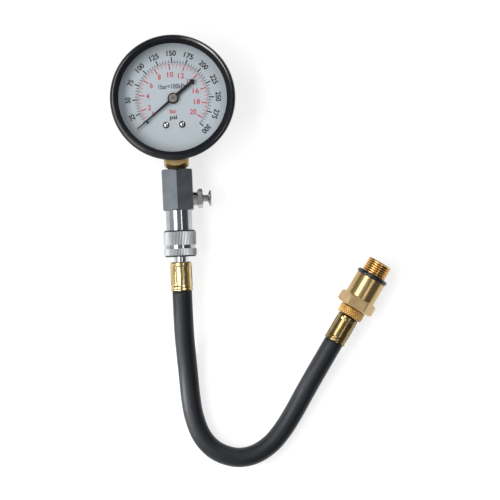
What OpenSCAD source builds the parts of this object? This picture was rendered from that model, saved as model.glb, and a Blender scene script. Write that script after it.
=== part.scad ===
// Compression tester gauge: dial gauge, quick coupler with release valve, hose and spark plug adapter.
// Millimetres. The part lies on its back: +Z is the dial side, the stem runs along -Y.
// The origin is on the case back, on the dial's axis.

/* [Gauge case] */
// Outer diameter of the bezel
bezel_d = 66; // [64.5:0.5:72]
// Diameter of the window in the bezel
window_d = 57; // [53:0.5:58]
// Outer diameter of the case
case_d = 61; // [60.5:0.1:61.5]
// Wall of the case
case_wall = 0.8; // [0.6:0.1:1]
// Height of the case rim over the back
case_h = 25.4; // [25.2:0.1:27]
// Rounding of the case back edge
case_edge_r = 2.5; // [1.5:0.1:4]
// Thickness of the lens gasket
gasket_t = 1; // [0.6:0.1:1.5]
// Thickness of the lens
lens_t = 2; // [1.5:0.1:3]
// How far the bezel stands over the lens
bezel_rise = 1.6; // [1.2:0.1:2.5]
// Length of the bezel skirt below the lens
skirt_len = 7; // [5:0.5:10]

/* [Dial and pointer] */
// Height of the dial's underside
dial_z = 20.6; // [20:0.1:21]
// Thickness of the dial
dial_t = 0.6; // [0.4:0.1:1]
// Distance of the dial screws from the middle line
dial_screw_x = 4.25; // [4.2:0.05:4.5]
// Distance of the dial screws below the dial's axis
dial_screw_y = 13.9; // [13.5:0.1:14]
// Diameter of the dial screw heads
dial_screw_head_d = 3.6; // [3:0.1:4]
// Length of the pointer from its axis to the tip
pointer_len = 25.1; // [22:0.1:26]
// Distance of the pointer's end block from its axis
tail_len = 13.2; // [10:0.1:15]
// Side of the square block at the pointer's tail
tail_block = 2.6; // [2:0.1:3]
// Thickness of the pointer
pointer_t = 0.5; // [0.4:0.1:0.8]
// Height of the pointer over the dial
pointer_gap = 1.7; // [1.5:0.1:2]
// Direction of the pointer at rest, in degrees from +X
pointer_rest = 218.4; // [215:0.1:224]
// Sweep of the pointer from rest to full scale, in degrees
pointer_sweep = 263; // [240:1:266]
// Distance of the stop pin from the pointer's axis
stop_pin_dist = 18.6; // [17:0.1:20]
// Diameter of the stop pin
stop_pin_d = 1; // [0.8:0.1:1.2]

/* [Movement] */
// Module of the gear teeth
gear_module = 0.25; // [0.245:0.005:0.255]
// Teeth on the pinion
pinion_teeth = 12; // [12:1:13]
// Teeth on a full circle of the sector gear
sector_teeth = 96; // [90:1:96]
// Thickness of the sector gear
sector_t = 1.2; // [1:0.1:1.4]
// Distance of the link's pin from the sector's axis
sector_tail = 6; // [5.5:0.1:6.5]
// Length of the link between its pins
link_len = 14.5; // [14:0.1:15]
// Thickness of the link
link_t = 0.8; // [0.6:0.1:1]
// Height of the movement's back plate
movement_z = 10; // [9.5:0.1:10.5]
// Thickness of the movement's plates
plate_t = 1.2; // [1:0.1:1.4]
// Room between the movement's plates
plate_gap = 5.2; // [5:0.1:5.6]
// Mean radius of the Bourdon tube
tube_r = 22; // [21.7:0.1:22.5]
// Width of the Bourdon tube along the dial's axis
tube_w = 8; // [6:0.5:9]
// Thickness of the Bourdon tube in its plane
tube_t = 3; // [2.4:0.1:3.2]
// Wall of the Bourdon tube
tube_wall = 0.4; // [0.3:0.05:0.6]

/* [Stem and coupler] */
// Height of the stem's axis over the case back
stem_z = 12; // [11.5:0.1:12.5]
// Width of the square stem block
block_w = 13; // [11:0.1:14]
// Distance of the stem block's lower face from the dial's axis
block_end = 36.3; // [35:0.1:40]
// Diameter of the stem thread
stem_thread_d = 9.8; // [9:0.1:10]
// Length of the stem thread
stem_thread_len = 9.7; // [8:0.1:10]
// Gap between the stem block and the coupler body
hex_gap = 0.8; // [0.5:0.1:1.5]
// Width of the coupler hex across its flats
hex_af = 16; // [15.4:0.1:18]
// Length of the coupler hex
hex_len = 22; // [20.5:0.5:28]
// Diameter of the coupler barrel
barrel_d = 14; // [13.8:0.1:14.6]
// Length of the barrel between the hex and the sleeve
barrel_len = 10.5; // [9:0.5:16]
// Outer diameter of the sleeve
sleeve_d = 17.5; // [17:0.1:20]
// Length of the sleeve
sleeve_len = 14.2; // [13.6:0.1:18]
// Travel of the sleeve towards the gauge
sleeve_travel = 2.8; // [2.6:0.1:3.2]
// Width of the sleeve's groove
sleeve_groove_w = 1.9; // [1.5:0.1:2.5]
// Distance of the groove from the sleeve's lower end
sleeve_groove_end = 4.4; // [4:0.1:5]
// Depth of the sleeve's groove
sleeve_groove_depth = 0.65; // [0.4:0.05:0.9]
// Ridges round the sleeve
sleeve_ridges = 64; // [48:1:80]
// Diameter of the locking balls
ball_d = 2.3; // [2:0.1:2.4]
// Diameter of the hose plug
plug_d = 8.9; // [8.6:0.1:9]
// Diameter of the gas passage
passage_d = 3; // [2.5:0.1:3.2]

/* [Release valve] */
// Distance of the valve's axis from the top of the coupler hex
valve_pos = 16.1; // [15.2:0.1:16.5]
// Diameter of the valve's neck
valve_neck_d = 7.6; // [7:0.1:8]
// Length of the valve's neck
valve_neck_len = 2.3; // [1.5:0.1:4]
// Width of the valve's hex across its flats
valve_hex_af = 9; // [8.6:0.1:11]
// Length of the valve's hex
valve_hex_len = 3; // [2:0.1:5]
// Diameter of the plunger's stem
plunger_d = 3.8; // [3.6:0.1:4]
// Length of the stem between the hex and the button
plunger_out = 3.3; // [2.5:0.1:5]
// Diameter of the button
button_d = 8.9; // [7:0.1:11]
// Thickness of the button
button_t = 1.2; // [0.8:0.1:2]
// Travel of the button
button_travel = 1.5; // [1:0.1:1.6]

/* [Hose] */
// Outer diameter of the hose
hose_d = 10.5; // [10.2:0.1:10.6]
// Bore of the hose
hose_bore = 5.3; // [4.6:0.1:5.6]
// Outer diameter of the crimped ferrules
ferrule_d = 11.5; // [11.3:0.1:13]
// Length of the ferrules
ferrule_len = 15.3; // [13:0.1:18]
// Wall of the ferrules
ferrule_wall = 0.75; // [0.6:0.05:0.85]
// Depth of the ferrules' crimps
crimp_depth = 0.3; // [0.15:0.05:0.4]
// Length of the plug's neck between the sleeve and the ferrule
plug_neck_len = 2.7; // [2:0.1:5]
// Diameter of the plug's neck
plug_neck_d = 7.6; // [6.6:0.1:8]

/* [Fitting and adapter] */
// X of the hose's lower end
far_x = 80; // [75:0.5:85]
// Y of the hose's lower end
far_y = -132.4; // [-135:0.1:-130]
// Direction of the adapter, in degrees from +X
far_angle = 57; // [54:0.5:60]
// Diameter of the knurled collar
collar_d = 14; // [12.5:0.1:16]
// Length of the knurled collar
collar_len = 5; // [4:0.1:7]
// Ridges round the knurled collar
collar_ridges = 40; // [30:1:50]
// Width of the adapter hex across its flats
adapter_af = 18; // [17.7:0.1:20]
// Length of the adapter hex
adapter_hex_len = 6.4; // [5:0.1:9]
// Diameter of the adapter's cylinder
adapter_d = 16.4; // [15:0.1:17]
// Length of the adapter's cylinder
adapter_cyl_len = 11.8; // [10:0.1:15]
// Section diameter of the adapter's O-ring
oring_t = 2.5; // [2:0.1:2.6]
// Outer diameter of the adapter's O-ring
oring_d = 17.6; // [17:0.1:17.7]
// Outer diameter of the spark plug thread
thread_d = 14; // [12:0.5:14.5]
// Length of the spark plug thread
thread_len = 7.5; // [6:0.5:12]
// Lift of the check valve pin
check_lift = 1.2; // [0.6:0.1:1.3]

/* [Clearances] */
// Radial clearance of parts that run or slide
run_clear = 0.05; // [0.03:0.01:0.08]
// Radial clearance of parts that are screwed or pressed in
seat_clear = 0.02; // [0.01:0.01:0.04]
// Gap between flat faces that move past each other
face_gap = 0.05; // [0.03:0.01:0.08]
// Radial clearance of the link's free eye
eye_clear = 0.3; // [0.25:0.05:0.35]

/* [Hidden] */
$fn = 64;

// Overlap of a cutting tool past a face, so that the cut is clean
cut = 1;
// How far a form that joins another is sunk into it
sink = 1;
// Room left past the end of a screw
screw_end_gap = 0.3;

// Case, lens and bezel
case_r = case_d/2;
case_ri = case_r - case_wall;
gasket_lip = 0.6;
gasket_ri = case_ri - gasket_lip;
lens_z = case_h + gasket_t;
lens_margin = 0.2;
lens_r = case_r - lens_margin;
lens_top = lens_z + lens_t;
bezel_r = bezel_d/2;
bezel_top = lens_top + bezel_rise;
bezel_clear = 0.2;
bezel_skirt_r = case_r + bezel_clear;
bezel_skirt_t = 0.9;
bezel_lip_t = 0.8;
bezel_roll_r = 2;
bezel_flare = 2;
window_bevel = 0.3;
window_r = window_d/2;

// Case screws, two beside the stem
case_screw_angle = 20;
case_screw_r = 1.25;
case_screw_head_r = 2.4;
case_screw_head_t = 1.4;
case_screw_len = 6;
wall_cut = 4;

// Dial, stop pin and pointer
dial_clear = 0.4;
dial_r = case_ri - dial_clear;
dial_top = dial_z + dial_t;
dial_hole_r = 3;
dial_screw_r = 1;
dial_screw_depth = 5;
dial_screw_dome = 1;
pointer_z = dial_top + pointer_gap;
pointer_root_w = 1.4;
pointer_tip_w = 0.5;
pointer_tail_w = 1.8;
pointer_disc_r = 2.85;
hub_bush_r = 1.5;
hub_cap_r = 2.2;
hub_cap_t = 1;
hub_bush_len = 0.9;
stop_pin_rise = 0.6;
stop_pin_top = pointer_z + pointer_t + stop_pin_rise;
pointer_w_at_pin = pointer_root_w + (pointer_tip_w - pointer_root_w)*stop_pin_dist/pointer_len;
stop_pin_offset = stop_pin_d/2 + pointer_w_at_pin/2 + face_gap;
stop_pin_angle = pointer_rest + asin(stop_pin_offset/stop_pin_dist);

// Movement heights
back_top = movement_z + plate_t;
front_z = back_top + plate_gap;
front_top = front_z + plate_t;
sector_lift = 1.2;
sector_z = back_top + sector_lift;
sector_top = sector_z + sector_t;
link_z = sector_top + face_gap;
link_top = link_z + link_t;
pin_head_z = link_top + face_gap;
pin_head_t = 0.5;
pin_head_lip = 0.3;
hairspring_drop = 1.6;
hairspring_z = front_z - hairspring_drop;
hairspring_w = 0.8;
arbor_end_gap = 0.2;

// Gears: the pinion is on the dial's axis, the sector below it
pressure_angle = 20;
pinion_pitch_r = gear_module*pinion_teeth/2;
sector_pitch_r = gear_module*sector_teeth/2;
gear_dist = pinion_pitch_r + sector_pitch_r;
gear_ratio = sector_teeth/pinion_teeth;
sector_sweep = pointer_sweep/gear_ratio;
sector_y = -gear_dist;
pinion_addendum = gear_module;
pinion_dedendum = 1.12*gear_module;
sector_addendum = 0.68*gear_module;
sector_dedendum = 1.25*gear_module;
tooth_thinning = 0.05;
sector_pitch_angle = 360/sector_teeth;
spare_teeth = 2;
swept_teeth = ceil(sector_sweep/sector_pitch_angle);
sector_rim_t = 1.1;
sector_hub_r = 1.9;
spoke_w = 1.4;
spoke_inset = 2;
gear_overhang = 0.2;
arbor_r = 0.8;
pin_r = 0.6;
eye_wall = 0.7;
tail_w = 2.2;
link_w = 1.5;

// Link and Bourdon tip: the link's pins at rest
tail_rest = -sector_sweep/2;
sector_pin_xy = [sector_tail*sin(tail_rest), sector_y - sector_tail*cos(tail_rest)];
link_line_y = sector_y - sector_tail*(1 + cos(tail_rest))/2;
tip_pin_xy = [sector_pin_xy[0] + link_len, link_line_y];

// Bourdon tube, from its boss on the socket round to its tip
tube_z = movement_z;
tube_tip_angle = -38;
tube_boss_angle = 236;
tube_end_angle = 246;
tube_pocket_angle = 216;
tip_block = 4;
tip_block_h = tube_w + 1;
tip_arm_r = tube_r - 0.5;
tip_arm_angle = tube_tip_angle - 5;

// Socket
socket_top_y = link_line_y - 2.5;
socket_half_w = 13.5;
socket_r = case_ri - face_gap;
socket_low = stem_z - block_w/2;
socket_high = stem_z + block_w/2;
block_chamfer = 1.2;
block_turn = 1;
block_start = case_r - 6;
slot_clear = 0.1;
pad_half_w = 9.7;
pad_start_y = -case_r + 4;
pad_end_y = -5;
boss_r = 1.75;
plate_hole_clear = 0.4;
tube_boss_x = [-13, -5];
tube_boss_top = tube_z + tube_w/2 + 1;
tube_boss_wall = 0.64;
bore_end_y = -25.5;
drill_r = 1;
drill_x = tube_boss_x[0] + 4;
drill_y = bore_end_y - 1;
drill_len = 6;

// Movement plates, pillars and screws
plate_x = 10.5;
plate_low_y = sector_y - 2.3;
plate_high_y = 5.5;
plate_corner_r = 2;
pillar_r = 1.5;
pillar_xy = [[-8.6, -11.5], [-8.4, 3.4], [8.4, 3.4]];
plate_screw_r = 0.8;
plate_screw_head_r = 1.5;
plate_screw_head_t = 0.8;
plate_screw_depth = 3;
movement_screw_xy = [[-7.6, -7.5], [7.6, -7.5]];
movement_screw_r = 0.9;
movement_screw_head_r = 1.7;
movement_screw_head_t = 0.8;
movement_screw_depth = 3.5;

// Hairspring
hair_inner_r = 1.5;
hair_outer_r = 5.2;
hair_turns = 4;
hair_t = 0.2;
hair_step = 20;
stud_r = 0.6;
collet_r = hair_inner_r - hair_t/2 - seat_clear;

// Stem and coupler: distances along the stem from the dial's axis
stem_thread_r = stem_thread_d/2;
hex_start = block_end + hex_gap;
hex_end = hex_start + hex_len;
sleeve_start = hex_end + barrel_len;
sleeve_end = sleeve_start + sleeve_len;
ferrule_start = sleeve_end + plug_neck_len;
ferrule_end = ferrule_start + ferrule_len;
stem_end = block_end + stem_thread_len;
stem_hole_end = stem_end + 0.6;
hex_inset = 0.3;
hex_bevel_angle = 30;
hex_oversize = 0.01;
barrel_r = barrel_d/2;
shoulder = sleeve_start + 1.4;
sleeve_r = sleeve_d/2;
sleeve_ridge = 0.3;
sleeve_bevel = 1;
sleeve_guide_r = barrel_r + run_clear;
spring_room = 0.7;
spring_wire_r = 0.22;
coil_steps = 20;
wire_sides = 6;
nose_r = barrel_r - spring_room;
sleeve_land_r = nose_r + run_clear;
sleeve_mouth_r = nose_r + 0.9;
ball_r = ball_d/2;
sleeve_mouth = 2.6;
land_end = sleeve_end - sleeve_mouth;
release_clear = 0.3;
ball_at = land_end - sleeve_travel + release_clear + ball_r;
land_start = ball_at - ball_r - 0.7;
ball_count = 6;
plug_r = plug_d/2;
plug_bore_r = plug_r + run_clear;
ball_ring_r = nose_r - ball_r;
ring_t = 0.6;
ring_start = land_end + face_gap;
ring_depth = 0.5;
ring_r = nose_r + 0.75;
ring_open = 40;
nose_end = ring_start + ring_t + 0.9;
plug_start = hex_end + 5.4;
plug_bevel = 0.6;
plug_end_gap = 0.6;
plug_bore_start = plug_start - plug_end_gap;
seal_r = 0.7;
seal_at = plug_start + 2.6;
seal_ring_r = plug_bore_r + seal_r;
passage_r = passage_d/2;

// Release valve: distances along X from the stem's axis
valve_at_u = hex_start + valve_pos;
hex_flat = hex_af/2;
valve_hole_end = passage_r + 0.7;
valve_port_r = 1.2;
valve_neck_r = valve_neck_d/2;
valve_thread_r = valve_neck_r;
valve_hole_r = valve_thread_r + seat_clear;
valve_hex_start = hex_flat + valve_neck_len;
valve_hex_end = valve_hex_start + valve_hex_len;
valve_hex_turn = 10;
valve_body_start = valve_hole_end + 0.6;
plunger_r = plunger_d/2;
plunger_bore_r = plunger_r + run_clear;
chamber_r = plunger_bore_r + 0.6;
poppet_r = chamber_r - 0.2;
poppet_t = 0.9;
valve_seal_t = 0.8;
valve_spring_len = button_travel + 0.9;
poppet_start = valve_hole_end + valve_spring_len;
valve_seal_start = poppet_start + poppet_t;
chamber_end = valve_seal_start + valve_seal_t;
plunger_neck_r = plunger_r - 0.6;
button_start = valve_hex_end + plunger_out;
button_r = button_d/2;
button_flare = 1;
button_edge = 0.3;
valve_wire_r = 0.18;
valve_coil_r = 1.6;

// Hose and ferrules
hose_r = hose_d/2;
hose_bore_r = hose_bore/2;
ferrule_r = ferrule_d/2;
ferrule_ri = ferrule_r - ferrule_wall;
hose_crimped_r = ferrule_ri - seat_clear;
ferrule_flange_t = 1.2;
hose_end_gap = 0.2;
hose_in_ferrule = ferrule_len - ferrule_flange_t - hose_end_gap;
hose_swell = 0.4;
crimp_sides = 8;
crimp_end = 2;
crimp_slope = 0.8;
crimp_ridge_w = 0.9;
ferrule_edge = 0.6;
ferrule_bell = 0.25;
ferrule_bell_len = 1.2;
plug_neck_r = plug_neck_d/2;
barb_r = hose_bore_r - face_gap;
barb_stem_r = barb_r - 0.3;
barb_pitch = 3;
barb_end_gap = 1.5;
barb_slope = 0.8;
hose_sides = 12;
ring_steps = 2;

// Fitting and adapter: distances along the adapter's axis from the hose's lower end
far_z = adapter_af/2;
seam = 0.1;
collar_start = ferrule_len + seam;
collar_end = collar_start + collar_len;
collar_r = collar_d/2;
collar_ridge = 0.25;
collar_bevel = 0.5;
adapter_start = collar_end + seam;
adapter_hex_end = adapter_start + adapter_hex_len;
adapter_cyl_end = adapter_hex_end + adapter_cyl_len;
thread_start = adapter_cyl_end + oring_t;
thread_end = thread_start + thread_len;
thread_r = thread_d/2;
thread_chamfer = 0.8;
fitting_thread_r = 4.95;
fitting_thread_len = 8.7;
fitting_end = collar_end + fitting_thread_len;
fitting_seal_t = 1;
fitting_hole_end = fitting_end + fitting_seal_t;
oring_ri = oring_d/2 - oring_t;
oring_seat_r = oring_ri - seat_clear;
core_r = 2.95;
core_bore_r = core_r + seat_clear;
core_end = thread_end - 1;
core_len = 7.5;
core_start = core_end - core_len;
check_seal_t = 0.6;
check_head_t = 1;
check_head_r = 2.2;
check_stem_r = 0.7;
check_guide_len = 2;
check_gas_r = 1.25;
check_vent_r = 0.35;
check_vents = 3;
check_tip_out = 0.4;
check_head_start = core_start - check_seal_t - check_head_t;
check_spring_len = check_lift + 1;
core_bore_start = check_head_start - check_spring_len;
check_wire_r = 0.16;
check_coil_r = 1.6;

// Middle of the hose, hand placed: it drops from the coupler to the table, turns and comes back
HOSE_ROUTE = [
    [0, -115, 11.2], [0.1, -126, 9.4], [0.6, -137, 7.4], [1.2, -148, 5.9], [1.8, -158.5, 5.4],
    [3.2, -169.5, 5.3], [7, -180.5, 5.3], [14, -188.5, 5.3], [24, -192.6, 5.3], [34, -191.8, 5.3],
    [43.3, -186.6, 5.3], [50.4, -179, 5.3], [56.5, -170.2, 5.4], [62.5, -160.3, 6], [68.5, -150.5, 7.3],
    [74.5, -141, 8.6]
];

// Points of an arc with centre c and radius r, from angle a0 to a1
function arc(c, r, a0, a1, n) = [for (i = [0:n]) let (a = a0 + (a1 - a0)*i/n) c + r*[cos(a), sin(a)]];

// Involute function, in degrees
function involute(a) = tan(a)*180/PI - a;

// Half the angle that a tooth fills at radius r
function flank(r, base_r, half) =
    half + involute(pressure_angle) - involute(acos(min(1, base_r/r)));

// Outline of one tooth at angle c, anticlockwise from root to root
function tooth(c, teeth, addendum, dedendum) =
    let (
        pitch_r = gear_module*teeth/2,
        base_r = pitch_r*cos(pressure_angle),
        tip_r = pitch_r + addendum,
        root_r = pitch_r - dedendum,
        first_r = max(base_r, root_r),
        half = 90/teeth - tooth_thinning/pitch_r*90/PI,
        radii = concat(root_r < base_r ? [root_r] : [], [for (i = [0:3]) first_r + (tip_r - first_r)*i/3]),
        last = len(radii) - 1
    )
    concat(
        [for (r = radii) let (a = c - flank(r, base_r, half)) r*[cos(a), sin(a)]],
        [for (i = [0:last]) let (r = radii[last - i], a = c + flank(r, base_r, half)) r*[cos(a), sin(a)]]
    );

// Outline of a full gear
function gear(teeth, addendum, dedendum, turn) =
    [for (i = [0:teeth - 1]) each tooth(turn + 360*i/teeth, teeth, addendum, dedendum)];

// Outline of a ridged round bar
function ridged(r, depth, count) =
    [for (i = [0:2*count - 1]) let (a = 180*i/count) (r - (i % 2)*depth)*[cos(a), sin(a)]];

// Outline of a flat spiral strip
function spiral_r(a) = hair_inner_r + (hair_outer_r - hair_inner_r)*a/(360*hair_turns);
function spiral_edge(side) =
    [for (a = [0:hair_step:360*hair_turns]) (spiral_r(a) + side*hair_t/2)*[cos(a), sin(a)]];

// Point on a smooth curve through the points p, between p[i] and p[i + 1]
function curve_point(p, i, t) =
    let (
        a = p[max(i - 1, 0)],
        b = p[i],
        c = p[min(i + 1, len(p) - 1)],
        d = p[min(i + 2, len(p) - 1)]
    )
    0.5*(2*b + (c - a)*t + (2*a - 5*b + 4*c - d)*t*t + (3*b - a - 3*c + d)*t*t*t);

// Round ring of a swept tube, across the direction given
function tube_ring(p, direction, side, r, sides) =
    let (
        t = direction/norm(direction),
        s = side - t*(side*t),
        u = s/norm(s),
        v = cross(t, u)
    )
    [for (k = [0:sides - 1]) p + r*(cos(360*k/sides)*u + sin(360*k/sides)*v)];

// Direction of a path at its point i
function along(path, i) = path[min(i + 1, len(path) - 1)] - path[max(i - 1, 0)];

// Closed tube along a path, with a side vector and a radius for each point
module swept_tube(path, side_vectors, radii, sides) {
    rings = len(path);
    points = [for (i = [0:rings - 1])
        each tube_ring(path[i], along(path, i), side_vectors[i], radii[i], sides)];
    walls = [for (i = [0:rings - 2], k = [0:sides - 1])
        let (n = (k + 1) % sides)
        [i*sides + k, (i + 1)*sides + k, (i + 1)*sides + n, i*sides + n]];
    start_cap = [for (k = [0:sides - 1]) k];
    end_cap = [for (k = [0:sides - 1]) (rings - 1)*sides + sides - 1 - k];
    polyhedron(points, concat([start_cap], walls, [end_cap]), convexity = 10);
}

// Coil spring along +Z from the origin
module coil_spring(coil_r, wire_r, length, turns) {
    steps = coil_steps*turns;
    path = [for (i = [0:steps]) let (a = 360*turns*i/steps)
        [coil_r*cos(a), coil_r*sin(a), wire_r + (length - 2*wire_r)*i/steps]];
    sides = [for (p = path) [p[0], p[1], 0]];
    radii = [for (p = path) wire_r];
    swept_tube(path, sides, radii, wire_sides);
}

// Tube with a true bore
module tube(r, ri, h) {
    difference() {
        cylinder(r = r, h = h);
        translate([0, 0, -cut]) cylinder(r = ri, h = h + 2*cut);
    }
}

// Hexagonal bar with a flat towards +X
module hex_bar(af, h) {
    rotate([0, 0, 30]) cylinder(d = af/cos(30), h = h, $fn = 6);
}

// Hexagonal bar with its corners turned off at both ends, down to a circle inside the flats
module chamfered_hex(af, h) {
    corner_r = af/2/cos(30) + hex_oversize;
    flat_r = af/2 - hex_inset;
    chamfer = (corner_r - flat_r)*tan(hex_bevel_angle);
    intersection() {
        hex_bar(af, h);
        rotate_extrude()
            polygon([[0, 0], [flat_r, 0], [corner_r, chamfer], [corner_r, h - chamfer],
                [flat_r, h], [0, h]]);
    }
}

// Flat bar between two points, with round ends
module bar(p, q, w, end_r) {
    d = q - p;
    translate(p) rotate(atan2(d[1], d[0])) translate([0, -w/2]) square([norm(d), w]);
    translate(p) circle(r = end_r);
    translate(q) circle(r = end_r);
}

// Rectangle with round corners
module round_rect(low, high, r) {
    size = high - low;
    translate(low + [r, 0]) square([size[0] - 2*r, size[1]]);
    translate(low + [0, r]) square([size[0], size[1] - 2*r]);
    for (x = [low[0] + r, high[0] - r], y = [low[1] + r, high[1] - r])
        translate([x, y]) circle(r = r);
}

// Square with cut corners, centred
module cut_square(w, chamfer) {
    h = w/2;
    c = h - chamfer;
    polygon([[h, -c], [h, c], [c, h], [-c, h], [-h, c], [-h, -c], [-c, -h], [c, -h]]);
}

// Pan head screw pointing down, with its head's underside at the origin
module pan_screw(r, len, head_r, head_t) {
    edge = head_t/2;
    translate([0, 0, -len]) cylinder(r = r, h = len);
    rotate_extrude()
        polygon(concat([[0, 0], [head_r, 0]], arc([head_r - edge, head_t - edge], edge, 0, 90, 6),
            [[0, head_t]]));
}

// Flat oval section of the Bourdon tube
module oval(w, t) {
    square([t, w - t], center = true);
    for (s = [-1, 1]) translate([0, s*(w - t)/2]) circle(d = t);
}

// Sweep of a section round the dial's axis at the height of the tube
module round_sweep(a0, a1) {
    translate([0, 0, tube_z]) rotate([0, 0, a0]) rotate_extrude(angle = a1 - a0)
        translate([tube_r, 0]) children();
}

// Frames along the stem, along the release valve and along the adapter: +Z runs outward
module on_stem(u) {
    translate([0, -u, stem_z]) rotate([90, 0, 0]) children();
}

module on_valve(x) {
    translate([x, -valve_at_u, stem_z]) rotate([0, 90, 0]) children();
}

module on_adapter(v) {
    translate([far_x + v*cos(far_angle), far_y + v*sin(far_angle), far_z])
        rotate([0, 0, far_angle]) rotate([0, 90, 0]) children();
}

// Radial frame on the case wall beside the stem, with +Z outward
module on_case_screw(s) {
    rotate([0, 0, -90 + s*case_screw_angle]) translate([case_r, 0, stem_z]) rotate([0, 90, 0]) children();
}

// Gauge case and front

module case() {
    edge = [case_r - case_edge_r, case_edge_r];
    outer = concat([[0, 0]], arc(edge, case_edge_r, -90, 0, 8), [[case_r, case_h]]);
    inner = concat([[case_ri, case_h]], arc(edge, case_edge_r - case_wall, 0, -90, 8), [[0, case_wall]]);
    color("dimgray") difference() {
        rotate_extrude() polygon(concat(outer, inner));
        on_stem(case_r - wall_cut) linear_extrude(2*wall_cut)
            cut_square(block_w + 2*slot_clear, block_chamfer);
        for (s = [-1, 1])
            on_case_screw(s) translate([0, 0, -wall_cut])
                cylinder(r = case_screw_r + run_clear, h = 2*wall_cut);
    }
}

module case_screws() {
    color("silver") for (s = [-1, 1])
        on_case_screw(s) pan_screw(case_screw_r, case_screw_len, case_screw_head_r, case_screw_head_t);
}

module bezel() {
    skirt_z = lens_z - skirt_len;
    skirt_outer = bezel_skirt_r + bezel_skirt_t;
    roll = [bezel_r - bezel_roll_r, bezel_top - bezel_roll_r];
    profile = concat(
        [[bezel_skirt_r, skirt_z], [skirt_outer, skirt_z], [skirt_outer, roll[1] - bezel_flare]],
        arc(roll, bezel_roll_r, 0, 100, 10),
        [[window_r + window_bevel, lens_top + bezel_lip_t], [window_r, lens_top + bezel_lip_t/2],
            [window_r, lens_top], [bezel_skirt_r, lens_top]]
    );
    color("#151515") rotate_extrude($fn = 128) polygon(profile);
}

module lens() {
    color("lightcyan", 0.3) translate([0, 0, lens_z]) cylinder(r = lens_r, h = lens_t);
}

module lens_gasket() {
    color("#222222") translate([0, 0, case_h]) tube(lens_r, gasket_ri, gasket_t);
}

module dial() {
    color("lightsteelblue") difference() {
        translate([0, 0, dial_z]) cylinder(r = dial_r, h = dial_t);
        translate([0, 0, dial_z - cut]) {
            cylinder(r = dial_hole_r, h = dial_t + 2*cut);
            for (s = [-1, 1])
                translate([s*dial_screw_x, -dial_screw_y, 0])
                    cylinder(r = dial_screw_r + run_clear, h = dial_t + 2*cut);
            rotate([0, 0, stop_pin_angle]) translate([stop_pin_dist, 0, 0])
                cylinder(r = stop_pin_d/2 + seat_clear, h = dial_t + 2*cut);
        }
    }
}

module dial_screws() {
    color("silver") for (s = [-1, 1])
        translate([s*dial_screw_x, -dial_screw_y, dial_top])
            pan_screw(dial_screw_r, dial_screw_depth, dial_screw_head_d/2, dial_screw_dome);
}

module stop_pin() {
    color("black") rotate([0, 0, stop_pin_angle]) translate([stop_pin_dist, 0, dial_z])
        cylinder(d = stop_pin_d, h = stop_pin_top - dial_z);
}

// Pointer, its hub and the pinion that turns it

module pointer() {
    root = pointer_root_w/2;
    tip = pointer_tip_w/2;
    color("black") translate([0, 0, pointer_z]) rotate([0, 0, pointer_rest]) difference() {
        linear_extrude(pointer_t) {
            polygon([[0, -root], [pointer_len - tip, -tip], [pointer_len, 0], [pointer_len - tip, tip],
                [0, root]]);
            translate([-tail_len, -pointer_tail_w/2]) square([tail_len, pointer_tail_w]);
            translate([-tail_len, 0]) rotate(45) square(tail_block, center = true);
            circle(r = pointer_disc_r);
        }
        translate([0, 0, -cut]) cylinder(r = hub_bush_r + seat_clear, h = pointer_t + 2*cut);
    }
}

module pointer_hub() {
    color("tan") difference() {
        union() {
            translate([0, 0, pointer_z - hub_bush_len])
                cylinder(r = hub_bush_r, h = hub_bush_len + pointer_t);
            translate([0, 0, pointer_z + pointer_t]) cylinder(r = hub_cap_r, h = hub_cap_t);
        }
        translate([0, 0, pointer_z - hub_bush_len - cut])
            cylinder(r = arbor_r + seat_clear, h = hub_bush_len + pointer_t + hub_cap_t + 2*cut);
    }
}

module pinion_arbor() {
    low = movement_z + arbor_end_gap;
    color("silver") {
        translate([0, 0, low]) cylinder(r = arbor_r, h = pointer_z + pointer_t + hub_cap_t - low);
        translate([0, 0, sector_z - gear_overhang]) linear_extrude(sector_t + 2*gear_overhang)
            polygon(gear(pinion_teeth, pinion_addendum, pinion_dedendum, -90));
        translate([0, 0, hairspring_z - gear_overhang])
            cylinder(r = collet_r, h = hairspring_w + 2*gear_overhang);
    }
}

module hairspring() {
    outer = spiral_edge(1);
    inner = spiral_edge(-1);
    last = len(inner) - 1;
    color("goldenrod") translate([0, 0, hairspring_z]) linear_extrude(hairspring_w)
        polygon(concat(outer, [for (i = [0:last]) inner[last - i]]));
}

module hairspring_stud() {
    color("silver") translate([hair_outer_r + hair_t/2 + stud_r, 0, hairspring_z])
        cylinder(r = stud_r, h = front_z - hairspring_z);
}

// Sector gear, link and Bourdon tube

module sector_gear() {
    first = -(swept_teeth + spare_teeth);
    angles = [for (k = [first:spare_teeth - 1]) 90 + (k + 0.5)*sector_pitch_angle];
    teeth = [for (a = angles) each tooth(a, sector_teeth, sector_addendum, sector_dedendum)];
    low = angles[0];
    high = angles[len(angles) - 1];
    rim_r = sector_pitch_r - sector_dedendum - sector_rim_t;
    tail = sector_pin_xy - [0, sector_y];
    color("goldenrod") translate([0, sector_y, sector_z]) difference() {
        linear_extrude(sector_t) {
            polygon(concat(teeth, arc([0, 0], rim_r, high, low, 12)));
            for (a = [low + spoke_inset, (low + high)/2, high - spoke_inset])
                rotate(a) translate([0, -spoke_w/2]) square([rim_r + sector_rim_t/2, spoke_w]);
            circle(r = sector_hub_r);
            bar([0, 0], tail, tail_w, pin_r + eye_wall);
        }
        translate([0, 0, -cut]) cylinder(r = arbor_r + seat_clear, h = sector_t + 2*cut);
        translate([tail[0], tail[1], -cut]) cylinder(r = pin_r + seat_clear, h = sector_t + 2*cut);
    }
}

module sector_arbor() {
    low = movement_z + arbor_end_gap;
    color("silver") translate([0, sector_y, low]) cylinder(r = arbor_r, h = front_top - low);
}

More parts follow.
